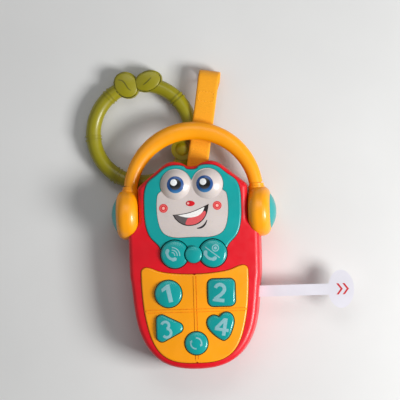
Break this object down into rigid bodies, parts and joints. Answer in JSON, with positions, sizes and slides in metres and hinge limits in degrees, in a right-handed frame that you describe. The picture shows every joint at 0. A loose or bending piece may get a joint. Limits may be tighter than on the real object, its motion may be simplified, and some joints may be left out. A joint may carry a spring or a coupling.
{
  "type": "toy cell phone",
  "caption": "Toy cell phone with a smiling face, shaped keys, a tilting headset, a webbing strap and an opening ring clip.",
  "frame": {"origin": "on the flat back of the case, on the body's centre line", "axes": "+X to the phone's right seen from the front, +Y towards its head, +Z out of its face"},
  "size_m": [0.1917, 0.2159, 0.0388],
  "materials": {
    "red_plastic": "gloss moulded, fine satin on the back",
    "teal_plastic": "gloss moulded",
    "teal_key": "high gloss moulded",
    "yellow_plastic": "semi-gloss moulded",
    "face_plastic": "translucent white, gloss",
    "olive_plastic": "slightly translucent, soft gloss",
    "webbing": "woven ribbed polyester",
    "screw_steel": "zinc plated",
    "pin_steel": "plain turned",
    "pin_plastic": "natural acetal",
    "board_green": "solder resist",
    "mat_rubber": "moulded silicone",
    "led_lens": "clear epoxy",
    "chip_black": "epoxy",
    "speaker_black": "pressed and moulded",
    "lead_red": "PVC insulation",
    "cell_metal": "plain sleeve",
    "contact_metal": "nickel plated",
    "contact_brass": "bare",
    "tab_film": "white film"
  },
  "bodies": {
    "phone": {"front_shell": "red_plastic", "back_shell": "red_plastic", "face_bezel": "teal_plastic", "face_plate": "face_plastic", "keypad_panel": "yellow_plastic", "battery_door": "red_plastic", "door_screw": "screw_steel", "case_screws": "screw_steel", "strap_pin": "pin_steel", "circuit_board": "board_green", "key_mat": "mat_rubber", "board_screws": "screw_steel", "face_leds": "led_lens", "sound_chip": "chip_black", "board_components": "chip_black", "speaker": "speaker_black", "speaker_retainer": "speaker_black", "speaker_screws": "screw_steel", "speaker_leads": "lead_red", "battery_1": "cell_metal", "battery_2": "cell_metal", "battery_springs": "contact_metal", "contact_plates": "contact_metal", "battery_leads": "lead_red", "tab_contacts": "contact_brass"},
    "headset": {"headband": "yellow_plastic", "left_ear_cup": "yellow_plastic", "right_ear_cup": "yellow_plastic", "left_ear_cap": "teal_plastic", "right_ear_cap": "teal_plastic", "pivot_pins": "pin_plastic", "pivot_washers": "mat_rubber", "cup_screws": "screw_steel"},
    "key_1": {"key_1": "teal_key"},
    "key_2": {"key_2": "teal_key"},
    "key_3": {"key_3": "teal_key"},
    "key_4": {"key_4": "teal_key"},
    "key_redial": {"key_redial": "teal_key"},
    "key_call": {"key_call": "teal_key"},
    "key_hang_up": {"key_hang_up": "teal_key"},
    "strap": {"hanging_strap": "webbing", "ring_keeper": "webbing"},
    "ring": {"ring_body": "olive_plastic", "ring_rivet": "olive_plastic", "clasp_leaf_left": "olive_plastic"},
    "gate": {"ring_gate": "olive_plastic", "clasp_leaf_right": "olive_plastic"},
    "tab": {"pull_tab": "tab_film"}
  },
  "joints": [
    {"name": "headset_tilt", "type": "hinge", "parent": "phone", "child": "headset", "pos_m": [0, 0.0371, 0.02], "axis": [1, 0, 0], "range_deg": [0, 100]},
    {"name": "key_call_press", "type": "slide", "parent": "phone", "child": "key_call", "axis": [0, 0, -1], "range_m": [0, 0.0015], "stiffness_N_per_m": 400},
    {"name": "key_hang_up_press", "type": "slide", "parent": "phone", "child": "key_hang_up", "axis": [0, 0, -1], "range_m": [0, 0.0015], "stiffness_N_per_m": 400},
    {"name": "key_1_press", "type": "slide", "parent": "phone", "child": "key_1", "axis": [0, 0, -1], "range_m": [0, 0.0015], "stiffness_N_per_m": 400},
    {"name": "key_2_press", "type": "slide", "parent": "phone", "child": "key_2", "axis": [0, 0, -1], "range_m": [0, 0.0015], "stiffness_N_per_m": 400},
    {"name": "key_3_press", "type": "slide", "parent": "phone", "child": "key_3", "axis": [0, 0, -1], "range_m": [0, 0.0015], "stiffness_N_per_m": 400},
    {"name": "key_4_press", "type": "slide", "parent": "phone", "child": "key_4", "axis": [0, 0, -1], "range_m": [0, 0.0015], "stiffness_N_per_m": 400},
    {"name": "key_redial_press", "type": "slide", "parent": "phone", "child": "key_redial", "axis": [0, 0, -1], "range_m": [0, 0.0015], "stiffness_N_per_m": 400},
    {"name": "strap_swing", "type": "hinge", "parent": "phone", "child": "strap", "pos_m": [0, 0.052, 0.009], "axis": [1, 0, 0], "range_deg": [-75, 0]},
    {"name": "ring_turn", "type": "hinge", "parent": "strap", "child": "ring", "pos_m": [-0.0369, 0.0959, 0.0063], "axis": [0, 0, 1], "range_deg": [0, 50]},
    {"name": "gate_swing", "type": "hinge", "parent": "ring", "child": "gate", "pos_m": [-0.0078, 0.0835, 0.0063], "axis": [0, 0, 1], "range_deg": [-18, 0]},
    {"name": "tab_pull", "type": "slide", "parent": "phone", "child": "tab", "axis": [1, 0, 0], "range_m": [0, 0.036]}
  ]
}
